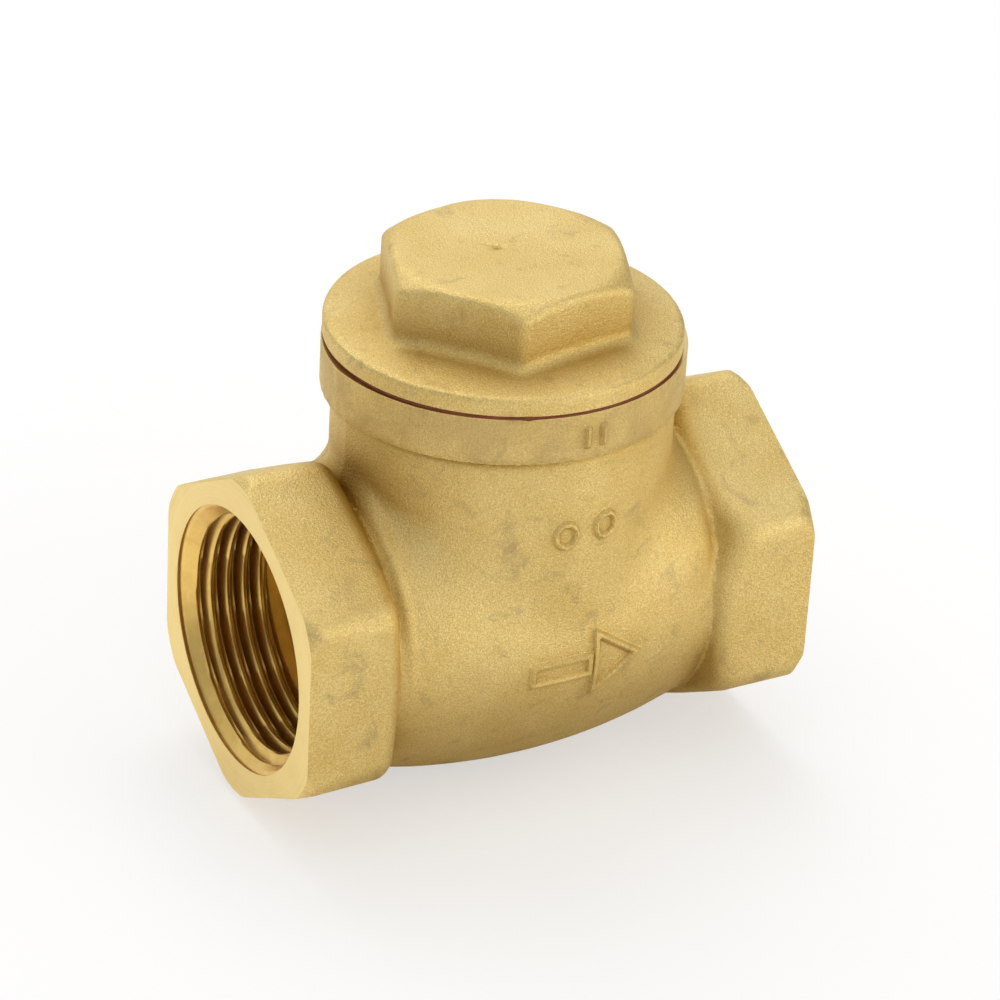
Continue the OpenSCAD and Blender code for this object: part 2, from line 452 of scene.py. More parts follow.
def forged_brass():
    """Sandblasted forging: fine pitted grain, faint stains, a darker patchy band over the collar, and
    painted shade in the hollows.
    """
    m, tree = new_material("forged_brass")
    n = Nodes(tree)
    grain = n.noise(6.0, 2.5, 0.62)
    pits = n.cells(3.0)
    broad = n.noise(0.10, 3.0, 0.55)
    blotch = n.noise(0.28, 5.0, 0.6, distortion=0.6)
    specks = n.noise(1.7, 4.0, 0.7)
    tone = n.ramp(broad, (0.34, BRASS_MID), (0.66, BRASS_LIGHT))
    tone = n.mix(n.ramp(grain, (0.36, 0.5), (0.56, 0.0)), tone, BRASS_DEEP)
    tone = n.mix(n.ramp(grain, (0.56, 0.0), (0.70, 0.45)), tone, (1.0, 0.89, 0.54))
    tone = n.mix(n.ramp(blotch, (0.57, 0.0), (0.74, 0.42)), tone, STAIN)
    tone = n.mix(n.ramp(specks, (0.66, 0.0), (0.75, 0.6)), tone, STAIN)
    # A darker, patchy band over the collar's height.
    foot, top = COLLAR_BASE * 0.01, COLLAR_TOP * 0.01
    band = n.ramp(n.maths("MULTIPLY", n.split()[2], 0.01), (foot - 0.0015, 0.0), (foot + 0.0045, 0.55),
                  (top - 0.002, 0.55), (top + 0.002, 0.0))
    collar_patches = n.ramp(n.noise(0.16, 5.0, 0.65, distortion=0.4), (0.36, 0.25), (0.58, 1.0))
    tone = n.mix(n.maths("MULTIPLY", band, collar_patches), tone, (0.50, 0.36, 0.15))
    # Painted shade: where the piece hides its own light, in hollows and at the foot of faces, the
    # colour turns deep and saturated.
    tone = n.mix(n.ramp(n.occlusion_shade(9.0), (0.38, 1.0), (0.99, 0.0)), tone, (0.41, 0.235, 0.022))
    rough = n.ramp(grain, (0.3, 0.60), (0.7, 0.48))
    height = n.maths("ADD", grain, n.maths("MULTIPLY", pits, 0.45))
    normal = n.bump(n.noise(0.9, 2.0), 0.018, 1.0)
    normal = n.bump(height, 0.085, 1.0, normal)
    n.finish(tone, 1.0, rough, normal)
    return m


def turned_brass(name, axis, rings=3.2, depth=0.012, rough=(0.36, 0.26), dirt=0.25):
    """Machined brass: fine turning rings across the given axis, and a soft edge."""
    m, tree = new_material(name)
    n = Nodes(tree)
    x, y, z = n.split()
    along = {"x": x, "y": y, "z": z}[axis]
    u, v = {"x": (y, z), "y": (x, z), "z": (x, y)}[axis]
    if axis == "z":
        u = n.maths("SUBTRACT", u, NECK_X)
    radial = n.length(u, v)
    place = n.maths("ADD", n.maths("MULTIPLY", along, 1.3), radial)
    combine_xyz = tree.nodes.new("ShaderNodeCombineXYZ")
    n.set(combine_xyz.inputs[0], place)
    ring = n.noise(rings, 3.0, 0.6, combine_xyz.outputs[0])
    cloud = n.noise(0.22, 4.0, 0.6)
    specks = n.noise(1.3, 4.0, 0.65)
    tone = n.mix(n.ramp(cloud, (0.45, 0.0), (0.75, 0.6)), BRASS_LIGHT, BRASS_MID)
    tone = n.mix(n.ramp(specks, (0.64, 0.0), (0.75, dirt)), tone, STAIN)
    tone = n.mix(n.ramp(ring, (0.35, 0.12), (0.6, 0.0)), tone, BRASS_DEEP)
    value = n.ramp(ring, (0.3, rough[0]), (0.7, rough[1]))
    normal = n.edge(0.16)
    normal = n.bump(ring, depth, 1.0, normal)
    normal = n.bump(n.noise(2.4, 3.0), 0.006, 1.0, normal)
    n.finish(tone, 1.0, value, normal)
    return m


def cut_thread():
    """Freshly cut thread flanks: brighter and deeper in colour, with fine chatter along the cut and
    painted shade in the grooves.
    """
    m, tree = new_material("cut_thread")
    n = Nodes(tree)
    fine = n.noise(5.0, 3.0, 0.6)
    cloud = n.noise(0.5, 4.0, 0.6, distortion=0.5)
    tone = n.mix(n.ramp(cloud, (0.40, 0.0), (0.75, 0.5)), (0.82, 0.57, 0.18), (0.60, 0.37, 0.08))
    # Painted shade: the thread's grooves darken by ambient occlusion.
    tone = n.mix(n.ramp(n.occlusion_shade(2.2), (0.30, 0.9), (0.70, 0.0)), tone, (0.30, 0.14, 0.02))
    rough = n.ramp(fine, (0.3, 0.30), (0.7, 0.38))
    normal = n.bump(fine, 0.012, 1.0, n.edge(0.12))
    n.finish(tone, 1.0, rough, normal)
    return m


def steel():
    m, tree = new_material("stainless_steel")
    n = Nodes(tree)
    fine = n.noise(6.0, 3.0, 0.6)
    cloud = n.noise(0.4, 4.0, 0.6)
    tone = n.mix(n.ramp(cloud, (0.4, 0.0), (0.7, 0.5)), (0.62, 0.62, 0.63), (0.42, 0.41, 0.40))
    rough = n.ramp(fine, (0.3, 0.34), (0.7, 0.22))
    n.finish(tone, 1.0, rough, n.bump(fine, 0.008, 1.0, n.edge(0.1)))
    return m


def fibre():
    """Dense red fibre: layered, matt, with a slightly frayed edge."""
    m, tree = new_material("red_fibre")
    n = Nodes(tree)
    x, y, z = n.split()
    layer = tree.nodes.new("ShaderNodeCombineXYZ")
    n.set(layer.inputs[0], n.maths("MULTIPLY", x, 0.35))
    n.set(layer.inputs[1], n.maths("MULTIPLY", y, 0.35))
    n.set(layer.inputs[2], n.maths("MULTIPLY", z, 5.0))
    ply = n.noise(1.6, 3.0, 0.6, layer.outputs[0])
    fuzz = n.noise(3.5, 4.0, 0.65)
    tone = n.ramp(ply, (0.34, (0.13, 0.035, 0.015)), (0.70, (0.28, 0.085, 0.035)))
    tone = n.mix(n.ramp(fuzz, (0.56, 0.0), (0.78, 0.55)), tone, (0.27, 0.14, 0.085))
    rough = n.ramp(fuzz, (0.3, 0.62), (0.7, 0.86))
    n.finish(tone, 0.0, rough, n.bump(n.maths("ADD", ply, fuzz), 0.05), Specular_IOR_Level=0.15)
    return m


def nitrile():
    m, tree = new_material("black_rubber")
    n = Nodes(tree)
    fine = n.noise(4.0, 4.0, 0.6)
    bloom = n.noise(0.35, 4.0, 0.6)
    tone = n.mix(n.ramp(bloom, (0.45, 0.0), (0.75, 0.7)), (0.013, 0.013, 0.014), (0.045, 0.045, 0.046))
    n.finish(tone, 0.0, n.ramp(fine, (0.3, 0.58), (0.7, 0.44)), n.bump(fine, 0.012, 1.0, n.edge(0.2)))
    return m


FORGED = forged_brass()
TURNED_X = turned_brass("turned_brass_x", "x")
TURNED_Z = turned_brass("turned_brass_z", "z")
TURNED_Y = turned_brass("turned_brass_y", "y")
FACE_X = turned_brass("faced_brass", "x", rings=2.2, depth=0.008, rough=(0.48, 0.38), dirt=0.2)
THREAD = cut_thread()
STEEL = steel()
FIBRE = fibre()
RUBBER = nitrile()


# ---------------------------------------------------------------- the body

def relief(x, y, z):
    """Height of the raised marks on the front: an outlined arrow, two small rings and two bars."""
    u, v = x - 2.0, z + 1.2
    shaft = np.maximum(np.abs(v) - 1.7, np.abs(u + 3.4) - 4.4)
    slope = math.hypot(5.0, 7.2)
    head = np.maximum((5.0 * (u - 8.2) + 7.2 * np.abs(v)) / slope, 1.0 - u)
    arrow = np.minimum(shaft, head)
    arrow = np.maximum(arrow, -0.85 - arrow)
    rings = [np.abs(np.hypot((x - cx) * 1.15, z - cz) - 1.55) - 0.42
             for cx, cz in ((-1.7, 17.9), (3.8, 18.3))]
    bars = np.maximum(np.abs(np.abs(x - 0.7) - 1.1) - 0.42, np.abs(z - 32.0) - 1.45)
    rise = 0.52 * ease(0.5 - arrow / 0.5)
    rise = rise + 0.5 * ease(0.5 - np.minimum(*rings) / 0.45)
    rise = rise + 0.55 * ease(0.5 - bars / 0.45)
    return rise * (y < -14)


def body_form(x, y, z):
    """The forging without its raised marks. x is from the neck axis.

    The barrel and the neck are lens shaped in section. outlet is 0 at the inlet end and 1 at
    the outlet end, whose groove is a wider vee and whose barrel swells to one side.
    """
    side = np.sqrt(y * y + 0.04)
    reach = np.abs(x)
    outlet = ease((x + 10) / 20)

    # Barrel, bowed along the pipe
    bow = np.sqrt(np.maximum(BARREL_BOW ** 2 - x * x, 1))
    fall = x / bow
    tilt = np.sqrt(1 + fall * fall)
    round_yz = np.hypot(z, side + 1.5)
    lobe = 1.5 * ease((x - 8) / 12) * ease((z - 2) / 10)
    bead = 0.25 * (1 - outlet) * np.exp(-((reach - 21.0) / 0.6) ** 2) * ease((z + 6) / 8)

    # Grooves between the barrel and the hexagons
    radial = np.hypot(y, z) - GROOVE_R
    groove = reach - GROOVE_X - 0.5 * outlet * ease((z - 3) / 8)
    slope = 0.35 + 0.45 * outlet
    barrel_end = (groove + 0.5 * (1 - outlet) + radial * slope) / np.sqrt(1 + slope ** 2)
    slope = 0.2 + (0.2 + 0.45 * ease((z + 2) / 8)) * outlet
    shoulder = (0.5 * (1 - outlet) - groove + radial * slope) / np.sqrt(1 + slope ** 2)
    core = np.maximum(radial + 0.9, reach - 30)
    barrel = (round_yz - (bow - BARREL_OFFSET) - lobe - bead) / tilt
    barrel = rmax(barrel, barrel_end, 0.7 + 0.5 * outlet)

    # Hexagon ends, with turned corners at each face
    flats = hexagon(y, z, HEX_APOTHEM, 0, 2.6 + 1.6 * ease((HALF - reach) / 12))
    ends = rmax(flats, shoulder, 2.0 - 0.5 * outlet)
    ends = smax(ends, 0.8 * (np.hypot(y, z) - HEX_CORNER) + 0.6 * (reach - HALF), 0.3)

    # Neck, with a fillet that widens as the two surfaces come to lie along each other
    round_xy = np.hypot(x - NECK_SHIFT, side + DRAFT)
    neck = np.maximum(np.maximum(round_xy - NECK_R, -z), z - 31)
    along = (x - NECK_SHIFT) * fall + (side + DRAFT) * (side + 1.5) / round_yz
    along = along / (round_xy * tilt)
    form = fillet(barrel, neck, along, 3.0 + 15.0 * ease((along - 0.35) / 0.6))
    form = rmin(form, rmin(ends, core, 0.45), 0.45 + 0.35 * outlet)

    # Collar, with a fine line under it
    form = form + 0.3 * np.exp(-((z - (COLLAR_BASE - 0.5)) / 0.4) ** 2)
    collar = rmax(np.hypot(x - 0.3, side + DRAFT) - COLLAR_R, COLLAR_BASE - z, 0.35)
    form = rmin(form, collar, 0.15)
    form = np.maximum(form, z - COLLAR_TOP - 0.8)
    form = np.maximum(form, reach - HALF - 0.8)

    flash = 0.07 * np.exp(-(y / 0.5) ** 2)
    return form - flash + 0.05 * waves(x, y, z, 3, 17) + 0.02 * waves(x, y, z, 4, 5)


def body_marked(x, y, z):
    return body_form(x, y, z) - relief(x, y, z)


def refine(points, faces, x_range, z_range):
    """The mesh with its front faces inside the two ranges split finer, for the raised marks."""
    bm = bmesh.new()
    verts = [bm.verts.new(p) for p in points]
    for face in faces:
        bm.faces.new([verts[i] for i in face])
    chosen = []
    for face in bm.faces:
        x, y, z = face.calc_center_median()
        if y < -15 and x_range[0] < x < x_range[1] and z_range[0] < z < z_range[1]:
            chosen.append(face)
    edges = list({e for f in chosen for e in f.edges})
    bmesh.ops.subdivide_edges(bm, edges=edges, cuts=2, use_grid_fill=True)
    bm.verts.index_update()
    points = np.array([v.co for v in bm.verts], float)
    faces = [tuple(v.index for v in f.verts) for f in bm.faces]
    bm.free()
    return points, faces


def port_radius(s, a):
    """Radius of a pipe port at depth s below its end face: mouth, thread, relief, then seat bore."""
    if s > THREAD_DEPTH:
        return np.full_like(a, RELIEF_R if s < RELIEF_DEPTH else SEAT_R)
    mouth = np.interp(s, (-2, 0, 0.12, 0.35, 0.6, 3.0), (17.2, 17.2, 17.2, 17.42, 16.95, 15.0))
    return np.maximum(thread(PIPE_PITCH, PIPE_CREST, PIPE_ROOT)(s + 0.7, a), mouth)


def port_tool(name, inlet):
    """The tool that cuts one pipe port; the inlet's goes on through the seat."""
    depths = [-2.0, 0.0, 0.12, 0.24, 0.35, 0.48] + steps(0.6, THREAD_DEPTH, PIPE_PITCH / 12)
    depths += [THREAD_DEPTH, THREAD_DEPTH + 0.01, RELIEF_DEPTH - 0.01]
    depths += [RELIEF_DEPTH, SEAT_X + 3] if inlet else [RELIEF_DEPTH - 0.005]
    if inlet:
        return stack(name, "x", depths, port_radius, 144, material=2)
    stations = [LENGTH - s for s in depths]
    return stack(name, "x", stations, lambda s, a: port_radius(LENGTH - s, a), 144, material=2)


def chamber_tool():
    """The tool that hollows barrel and neck, leaving the seat wall, its lip and the pin lugs."""
    profile = [(WEB_X - 2, BARREL_BORE), (NECK_X + 13.5, BARREL_BORE),
               (NECK_X + 14.6, BARREL_BORE - 0.5), (LENGTH - RELIEF_DEPTH + 0.2, 14.2)]
    tool = turned("chamber", "x", profile, 120, material=1)
    join(tool, turned("bore", "z", [(0, CHAMBER_R), (30, CHAMBER_R)], 120, (NECK_X, 0, 0), 1))
    profile = [(WEB_X - 4, SEAT_R + 1.8), (SEAT_X - 0.15, SEAT_R + 1.8), (SEAT_X, SEAT_R + 1.6)]
    lip = turned("lip", "x", profile, 96, material=1)
    cut(tool, block("web", (0, -30, -30), (WEB_X, 30, WEB_TOP), 1), lip)
    for y in (-30, 9.5):
        lug_lo, lug_hi = (PIN_X - 4, y, WEB_TOP - 1.5), (PIN_X + 4, y + 20.5, PIN_Z + 4)
        cut(tool, block("lug", lug_lo, lug_hi, 1))
    return tool


def neck_thread_tool():
    """The tool that cuts the neck's thread, with a 45 degree lead-in at the top."""
    cutter = thread(CAP_PITCH, 17.22, 18.06)

    def radius(s, a):
        return np.maximum(cutter(s, a), NECK_MOUTH - (COLLAR_TOP - s))
    stations = [(24.0, 17.0), (25.6, 17.0), (25.7, 18.12), (27.0, 18.12)]
    stations += steps(27.1, COLLAR_TOP - 0.1, CAP_PITCH / 10) + [COLLAR_TOP, COLLAR_TOP + 2.0]
    return stack("neck_thread", "z", stations, radius, 132, (NECK_X, 0, 0), 2)


def end_tool(name, sign):
    """The tool that faces one end flat: all the metal beyond it."""
    profile = [(HALF, CENTRE), (HALF, 40), (HALF + 9, 40), (HALF + 9, CENTRE)]
    return turned(name, "x", [(sign * s, r) for s, r in profile], 192, (HALF, 0, 0), 1)


def build_body():
    lo, hi = (-HALF - 2, -24.6, -25.0), (HALF + 2, 24.6, COLLAR_TOP + 2)
    points, faces = skin(body_form, lo, hi, 0.52)
    arrow, rings, bars = ((-9, 12.5), (-8, 7)), ((-4.6, 6.6), (14.4, 20.9)), ((-2, 3.4), (29.8, 34.2))
    for x_range, z_range in (arrow, rings, bars):
        points, faces = refine(points, faces, x_range, z_range)
    points = settle(body_marked, points, 3)
    points[:, 0] += NECK_X
    body = add_object("valve_body_forging", points, faces, 4, 0)
    cut(body, end_tool("face_in", -1), end_tool("face_out", 1))
    cut(body, block("collar_face", (-5, -40, COLLAR_TOP), (80, 40, COLLAR_TOP + 20), 3))
    cut(body, chamber_tool(), port_tool("inlet_port", True), port_tool("outlet_port", False))
    cut(body, neck_thread_tool())
    cut(body, turned("pin_hole", "y", [(-14.6, 2.04), (13, 2.04)], 48, PIN, 1))
    plug_hole = thread(1.0, 3.55, 4.02)
    floor, face = 12.0, 17.0
    stations = [floor] + steps(floor + 0.1, face + 0.05, 0.1)
    cut(body, stack("plug_hole", "y", stations, plug_hole, 48, PIN, 2))
    cut(body, turned("spot_face", "y", [(face, 4.7), (26.0, 4.7)], 72, PIN, 3))
    finish_mesh(body, [FORGED, FACE_X, THREAD, TURNED_Z])
    return body


# ---------------------------------------------------------------- the cap and its gasket

CAP_APOTHEM = 14.65
CAP_TURN = math.radians(38.6)
CAP_HEX_BASE = FLANGE_BASE + 3.2


def cap_form(x, y, z):
    """The cap above its sealing face, with a punch mark on top. x is from the neck axis."""
    r = np.hypot(x, y)
    head = hexagon(x, y, CAP_APOTHEM, CAP_TURN, 1.7)
    slope = math.radians(30)
    dome = (z - CAP_TOP) * math.cos(slope) + (r - 14.3) * math.sin(slope)
    head = rmax(head, smax(z - CAP_TOP, dome, 0.45), 0.7)
    head = np.maximum(head, CAP_HEX_BASE - 6 - z)
    rise = math.radians(9.2)
    upper = (z - CAP_HEX_BASE) * math.cos(rise) + (r - 16.2) * math.sin(rise)
    flange = np.maximum(rmax(r - 22.42, upper, 0.5), CAP_HEX_BASE - 9 - z)
    form = rmin(head, flange, 1.3)
    p, q = x + 1.0, y - 1.5
    nick = 0.40 * np.exp(-((p * 0.8 + q * 0.6) / 0.30) ** 2 - ((p * 0.6 - q * 0.8) / 1.2) ** 2)
    across, length = (p * 0.3 - q * 0.95 - 0.6) / 0.28, (p * 0.95 + q * 0.3) / 0.9
    nick = nick + 0.35 * np.exp(-across ** 2 - length ** 2)
    return form + nick * (z > CAP_TOP - 2) + 0.045 * waves(x, y, z, 8, 13) + 0.02 * waves(x, y, z, 9, 5)


def build_cap():
    points, faces = skin(cap_form, (-24, -24, FLANGE_BASE - 2), (24, 24, CAP_TOP + 2), 0.40)
    points[:, 0] += NECK_X
    cap = add_object("screw_cap", points, faces, 4, 0)
    cut(cap, block("seal_face", (-5, -40, FLANGE_BASE - 20), (80, 40, FLANGE_BASE), 1))
    male = thread(CAP_PITCH, 17.12, 17.96)

    def skirt(s, a):
        root = male(s, a)
        return np.minimum(root, 17.0 + (s - SKIRT_END) * 0.9) if s < SKIRT_END + 2 else root
    stations = [SKIRT_END] + steps(SKIRT_END + 0.12, FLANGE_BASE - 1.3, CAP_PITCH / 10)
    stations += [(FLANGE_BASE - 1.25, 17.05), (FLANGE_BASE + 0.6, 17.05)]
    join(cap, stack("skirt", "z", stations, skirt, 132, (NECK_X, 0, 0), 2))
    hollow = [(SKIRT_END - 2, 15.0), (SKIRT_END, 13.6), (SKIRT_END + 0.6, 13.0),
              (FLANGE_BASE + 3, 13.0), (FLANGE_BASE + 4.6, 11.8), (FLANGE_BASE + 5.4, 9.0),
              (FLANGE_BASE + 5.5, CENTRE)]
    cut(cap, turned("hollow", "z", hollow, 120, (NECK_X, 0, 0), 1))
    finish_mesh(cap, [FORGED, TURNED_Z, THREAD])
    return cap


def build_gasket():
    """A thin ring that bulges out a little, and unevenly, where the cap squeezes it."""
    lo, hi = COLLAR_TOP, FLANGE_BASE
    t = hi - lo
    outer, inner = 22.15, NECK_MOUTH
    angles = np.arange(360) / 360 * TAU
    uneven = 0.10 * waves(np.cos(angles) * 22, np.sin(angles) * 22, 0 * angles, 21, 7)
    uneven = uneven + 0.3 * np.exp(-((angles - math.radians(249)) / 0.030) ** 2)
    # Each ring of points: height, radius and how much of the unevenness it takes
    loop = [(lo, inner, 0), (lo, outer, 0.5), (lo + 0.15 * t, outer + 0.10, 1),
            (lo + 0.5 * t, outer + 0.16, 1), (lo + 0.85 * t, outer + 0.10, 1),
            (hi, outer, 0.5), (hi, inner, 0)]
    stations = [(z, r + share * uneven) for z, r, share in loop]
    ring = stack("fibre_gasket", "z", stations, None, len(angles), (NECK_X, 0, 0), closed=True)
    return finish_mesh(ring, [FIBRE], 40)


# ---------------------------------------------------------------- the flap and its pin

def build_pin():
    profile = [(-14.5, 1.6), (-14.2, 2.0), (11.7, 2.0), (12.0, 1.7)]
    return finish_mesh(turned("hinge_pin_rod", "y", profile, 64, PIN), [STEEL])


def build_plug():
    y0, y1 = PLUG_LO[1], PLUG_HI[1]
    male = thread(1.0, 3.42, 3.88)

    def radius(s, a):
        return np.minimum(np.minimum(male(s, a), 3.3 + (s - y0)), 3.4 + (y1 - s))
    stations = steps(y0, y1 + 0.01, (y1 - y0) / 46)
    plug = stack("slotted_plug", "y", stations, radius, 60, PIN, 1)
    cut(plug, block("slot", (PIN_X - 6, y1 - 1.7, PIN_Z - 0.6), (PIN_X + 6, y1 + 2, PIN_Z + 0.6)))
    return finish_mesh(plug, [TURNED_Y, THREAD])


def arm_form(x, y, z):
    """Forged arm: a wide hub on the pin, a sloping web and a flat eye round the stem."""
    a, c = x - PIN_X, z - PIN_Z
    mid = ARM_FACE + ARM_T / 2 - PIN_X
    hub = rmax(np.hypot(a, c) - 3.2, np.abs(y) - 9.3, 0.5)
    top = 0.8 * a + 0.6 * c - 3.16
    under = -0.261 * a - 0.965 * c - 2.67
    lean = np.maximum(np.maximum(top, under), np.maximum(a - mid, 0.8 * c - 0.6 * a))
    lean = rmax(lean, np.abs(y) - 4.0, 0.5)
    outline = rmin(np.hypot(y, z) - 6.5, np.maximum(np.abs(y) - 4.0, -z), 1.5)
    plate = rmax(np.maximum(outline, top), np.abs(a - mid) - ARM_T / 2, 0.45)
    form = rmin(rmin(hub, lean, 1.0), plate, 0.3)
    return form + 0.03 * waves(x, y, z, 31, 6)


def build_arm():
    lo, hi = (PIN_X - 5, -11, -8), (ARM_FACE + 6, 11, PIN_Z + 5)
    points, faces = skin(arm_form, lo, hi, 0.36)
    arm = add_object("flap_arm", points, faces, 4, 0)
    stem_hole = [(ARM_FACE - 3, 3.08), (ARM_FACE + 7, 3.08)]
    cut(arm, turned("stem_hole", "x", stem_hole, 72, material=1))
    cut(arm, turned("pin_hole", "y", [(-12, 2.08), (12, 2.08)], 72, PIN, 1))
    for a, b in ((ARM_FACE - 4, ARM_FACE), (ARM_FACE + ARM_T, ARM_FACE + 8)):
        cut(arm, turned("spot", "x", [(a, 6.4), (b, 6.4)], 72, material=1))
    for a, b in ((-14, -9.3), (9.3, 14)):
        cut(arm, turned("hub_face", "y", [(a, 4.2), (b, 4.2)], 72, PIN, 1))
    return finish_mesh(arm, [FORGED, TURNED_X])


def build_disc():
    x = SEAT_X
    end = box_mm("disc")[1][0]
    profile = [(x + 0.4, 13.4), (x + 0.7, 13.85), (x + 1.0, 14.0), (x + 3.0, 14.0),
               (x + 3.7, 13.6), (x + 4.0, 12.9), (x + 4.0, 6.4), (x + 4.25, 5.6),
               (x + 4.6, 5.25), (x + 5.35, 5.2), (x + 5.6, 4.9), (x + 5.6, 3.0)]
    disc = turned("flap_disc", "x", profile, 128)
    male = thread(1.0, 2.55, 2.98)

    def stem(s, a):
        if s < x + 9.4:
            return np.full_like(a, 3.0 if s < x + 9.2 else 2.6)
        return np.minimum(male(s, a), 2.3 + (end - s))
    stations = [x + 5.0, x + 9.19, x + 9.2, x + 9.39] + steps(x + 9.4, end - 0.02, 0.1) + [end]
    join(disc, stack("stem", "x", stations, stem, 60, material=1))
    cut(disc, turned("recess", "x", [(x - 1, 13.1), (x + 2.2, 13.1)], 128))
    cut(disc, turned("screw_hole", "x", [(x - 1, 2.04), (x + 7.9, 2.04)], 40))
    return finish_mesh(disc, [TURNED_X, THREAD])


def build_seal():
    x = SEAT_X
    loop = [(x, 3.3), (x, 9.3), (x + 0.12, 9.5), (x, 9.8), (x, 12.7),
            (x + 0.3, 13.03), (x + 2.2, 13.03), (x + 2.2, 3.25)]
    return finish_mesh(turned("rubber_seal", "x", loop, 128, closed=True), [RUBBER])


def build_plate():
    x = SEAT_X
    loop = [(x + 2.2, 2.06), (x + 2.2, 3.08), (x, 3.08), (x, 8.3), (x - 0.2, 8.5),
            (x - 0.5, 8.4), (x - 0.9, 7.9), (x - 1.1, 7.2), (x - 1.2, 6.2), (x - 1.2, 2.06)]
    return finish_mesh(turned("retaining_plate", "x", loop, 128, closed=True), [TURNED_X])


def build_screw():
    """A slotted pan head screw; h is where the head meets the plate."""
    h = SEAT_X - 1.2
    end = box_mm("seal_screw")[1][0]
    male = thread(0.7, 1.66, 1.98)
    profile = [(h - 2.0, CENTRE), (h - 2.0, 1.8), (h - 1.8, 2.6), (h - 1.35, 3.2),
               (h - 0.7, 3.5), (h, 3.5), (h, 1.9), (h + 0.3, 1.9)]
    screw = turned("pan_screw", "x", profile, 72)

    def shank(s, a):
        return np.minimum(male(s, a), 1.3 + (end - s))
    stations = [h + 0.05] + steps(h + 0.3, end - 0.02, 0.07) + [end]
    join(screw, stack("shank", "x", stations, shank, 40))
    cut(screw, block("slot", (h - 3, -0.5, -5), (h - 0.95, 0.5, 5)))
    return finish_mesh(screw, [STEEL])


def build_washer():
    lo, hi = box_mm("disc_washer")
    a, b = lo[0], hi[0]
    loop = [(a, 3.05), (a, 5.4), (a + 0.15, 5.6), (b - 0.15, 5.6), (b, 5.4), (b, 3.05)]
    return finish_mesh(turned("stem_washer", "x", loop, 72, closed=True), [STEEL])


def build_nut():
    lo, hi = box_mm("disc_nut")
    a, b = lo[0], hi[0]
    mid = (a + b) / 2

    def form(x, y, z):
        r = np.hypot(y, z)
        f = hexagon(y, z, 5.0, 0, 0.25)
        f = rmax(f, np.abs(x - mid) - (b - a) / 2 - 0.6, 0.1)
        return rmax(f, (np.abs(x - mid) - (b - a) / 2 + 0.55 * (r - 5.0)) / 1.14, 0.12)
    points, faces = skin(form, (a - 1.5, -6.5, -6.5), (b + 1.5, 6.5, 6.5), 0.22)
    nut = add_object("stem_nut", points, faces, 4, 0)
    cut(nut, block("face_a", (a - 5, -9, -9), (a, 9, 9)), block("face_b", (b, -9, -9), (b + 5, 9, 9)))
    cutter = thread(1.0, 2.62, 3.06)

    def tap(s, angles):
        return np.maximum(cutter(s, angles), 3.3 - min(s - a, b - s))
    cut(nut, stack("tap", "x", steps(a - 0.6, b + 0.6, 0.1), tap, 60, material=1))
    return finish_mesh(nut, [TURNED_X, THREAD])


PIECES = [
    (build_body, "body", "valve_body", "forged_brass"),
    (build_cap, "cap", "screw_cap", "forged_brass"),
    (build_gasket, "cap_gasket", "gasket", "red_fibre"),
    (build_pin, "hinge_pin", "valve_body", "steel"),
    (build_plug, "pin_plug", "valve_body", "turned_brass"),
    (build_arm, "hinge_arm", "swing_arm", "turned_brass"),
    (build_disc, "disc", "flap", "turned_brass"),
    (build_seal, "disc_seal", "flap", "black_rubber"),
    (build_plate, "seal_plate", "flap", "turned_brass"),
    (build_screw, "seal_screw", "flap", "steel"),
    (build_washer, "disc_washer", "flap", "steel"),
    (build_nut, "disc_nut", "flap", "turned_brass"),
]
for build, node, rides_on, slot in PIECES:
    piece = build()
    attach(piece, rides_on)
    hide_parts(node)


# ---------------------------------------------------------------- floor, light and camera

# The floor as the brass sees it: darker near the valve as a painted shadow, lighter far off, and the
# glow of a card that lights the inlet face
FLOOR_SHADOW_NEAR = (0.62, 0.58, 0.50)
FLOOR_FAR = (0.90, 0.86, 0.78)
CARD = 0.35
# The floor as the camera sees it: how much it reflects, and how much it glows
PALE = (0.45, 0.45, 0.45)
GLOW = (0.55, 0.55, 0.55)

SKY = {"left": 0.3, "right": 0.25, "back": 0.95, "front": 0.75, "above": 0.95, "below": 0.4}
# Name, offset from the middle of the valve, width, power and colour
LIGHTS = [
    ("key", (0.12, 0.42, 0.85), 0.6, 1.8, (1.0, 1.0, 1.0)),
    ("fill", (0.60, -0.68, 0.12), 0.7, 2.5, (1.0, 0.95, 0.84)),
    ("rim", (-0.70, 0.66, 0.16), 0.5, 0.1, (1.0, 1.0, 1.0)),
]
# Azimuth, elevation and roll in degrees; place in millimetres from the neck axis
CAMERA_ANGLES = (-30.81, 28.96, 3.39)
CAMERA_PLACE = (-241.4, -410.6, 278.2)
CAMERA_LENS = 155.6
CAMERA_SHIFT = (-0.0182, -0.0183)


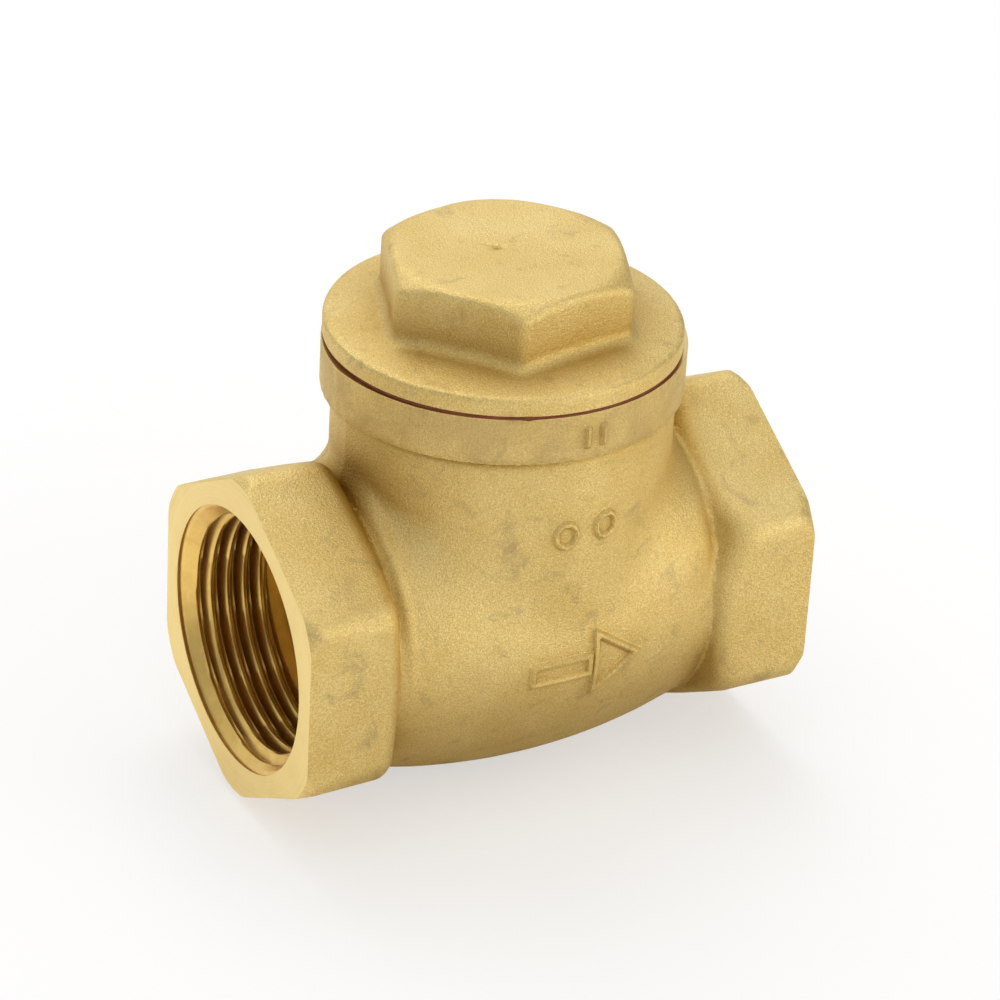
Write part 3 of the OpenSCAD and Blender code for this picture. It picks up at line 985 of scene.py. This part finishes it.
def build_floor():
    """A plain floor; what the brass reflects of it, darkened near the valve as a painted shadow,
    differs from what the camera sees.
    """
    size, level = 3, CAD_BOX[0][2]
    points = [(-size, -size, level), (size, -size, level), (size, size, level), (-size, size, level)]
    mesh = bpy.data.meshes.new("floor")
    mesh.from_pydata(points, [], [(0, 1, 2, 3)])
    floor = bpy.data.objects.new("floor", mesh)
    floor.location = (NECK_X * MM, 0, 0)
    bpy.context.scene.collection.objects.link(floor)
    m, tree = new_material("pale_floor")
    n = Nodes(tree)
    x, y, _ = n.split()
    away = n.maths("MULTIPLY", n.length(x, y), 0.004)
    # Painted shadow: in reflections the floor darkens towards the valve.
    tone = n.ramp(away, (0.10, FLOOR_SHADOW_NEAR), (0.28, FLOOR_FAR))
    seen = tree.nodes.new("ShaderNodeLightPath").outputs["Is Camera Ray"]
    n.finish(n.mix(seen, tone, PALE), 0.0, 0.8, n.bump(n.noise(0.5, 2.0), 0.01, 0.1))
    lit = tree.nodes["Principled BSDF"]
    lit.inputs["Emission Color"].default_value = (1, 1, 1, 1)
    leftward = n.maths("MULTIPLY", x, -0.01)
    card = n.ramp(leftward, (0.26, 0.0), (0.36, CARD), (0.78, CARD), (0.98, 0.0))
    tree.links.new(n.mix(seen, card, GLOW), lit.inputs["Emission Strength"])
    mesh.materials.append(m)


def add_area(name, offset, size, power, colour):
    """A round light at an offset in metres from the middle of the valve, facing it."""
    aim = Vector(((CAD_BOX[0][i] + CAD_BOX[1][i]) / 2 for i in range(3)))
    place = aim + Vector(offset)
    light = bpy.data.lights.new(name, "AREA")
    light.shape, light.size, light.energy, light.color = "DISK", size, power, colour
    obj = bpy.data.objects.new(name, light)
    obj.location = place
    obj.rotation_euler = (aim - place).to_track_quat("-Z", "Y").to_euler()
    bpy.context.scene.collection.objects.link(obj)


def build_world():
    """A light tent with one level of white for each of six directions, blended smoothly.

    The camera itself sees plain white.
    """
    world = bpy.data.worlds.new("studio")
    bpy.context.scene.world = world
    world.use_nodes = True
    tree = world.node_tree
    tree.nodes.clear()
    n = Nodes(tree)
    coords = tree.nodes.new("ShaderNodeTexCoord")
    split = tree.nodes.new("ShaderNodeSeparateXYZ")
    tree.links.new(coords.outputs["Generated"], split.inputs[0])
    total = 0.0
    for axis, (minus, plus) in enumerate((("left", "right"), ("front", "back"), ("below", "above"))):
        d = split.outputs[axis]
        side = n.maths("GREATER_THAN", d, 0.0)
        level = n.maths("MULTIPLY_ADD", side, SKY[plus] - SKY[minus], SKY[minus])
        total = n.maths("MULTIPLY_ADD", n.maths("MULTIPLY", d, d), level, total)
    seen = tree.nodes.new("ShaderNodeLightPath").outputs["Is Camera Ray"]
    shade = tree.nodes.new("ShaderNodeBackground")
    out = tree.nodes.new("ShaderNodeOutputWorld")
    tree.links.new(n.maths("MAXIMUM", total, seen), shade.inputs[0])
    tree.links.new(shade.outputs[0], out.inputs[0])


def build_camera():
    """A long lens to the inlet side and above, rolled a little."""
    azimuth, elevation, roll = (math.radians(a) for a in CAMERA_ANGLES)
    level = math.cos(elevation)
    back = Vector((math.sin(azimuth) * level, -math.cos(azimuth) * level, math.sin(elevation)))
    right = Vector((0, 0, 1)).cross(back).normalized()
    up = back.cross(right)
    turn = Matrix.Rotation(roll, 3, back)
    basis = Matrix((turn @ right, turn @ up, back)).transposed().to_4x4()
    camera = bpy.data.cameras.new("camera")
    camera.lens, camera.sensor_width = CAMERA_LENS, 36
    camera.shift_x, camera.shift_y = CAMERA_SHIFT
    camera.clip_start, camera.clip_end = 0.01, 20
    obj = bpy.data.objects.new("camera", camera)
    place = Vector((NECK_X + CAMERA_PLACE[0], CAMERA_PLACE[1], CAMERA_PLACE[2])) * MM
    obj.matrix_world = Matrix.Translation(place) @ basis
    bpy.context.scene.collection.objects.link(obj)
    bpy.context.scene.camera = obj


build_floor()
build_world()
for light in LIGHTS:
    add_area(*light)
build_camera()
bpy.context.scene.view_settings.view_transform = "Standard"
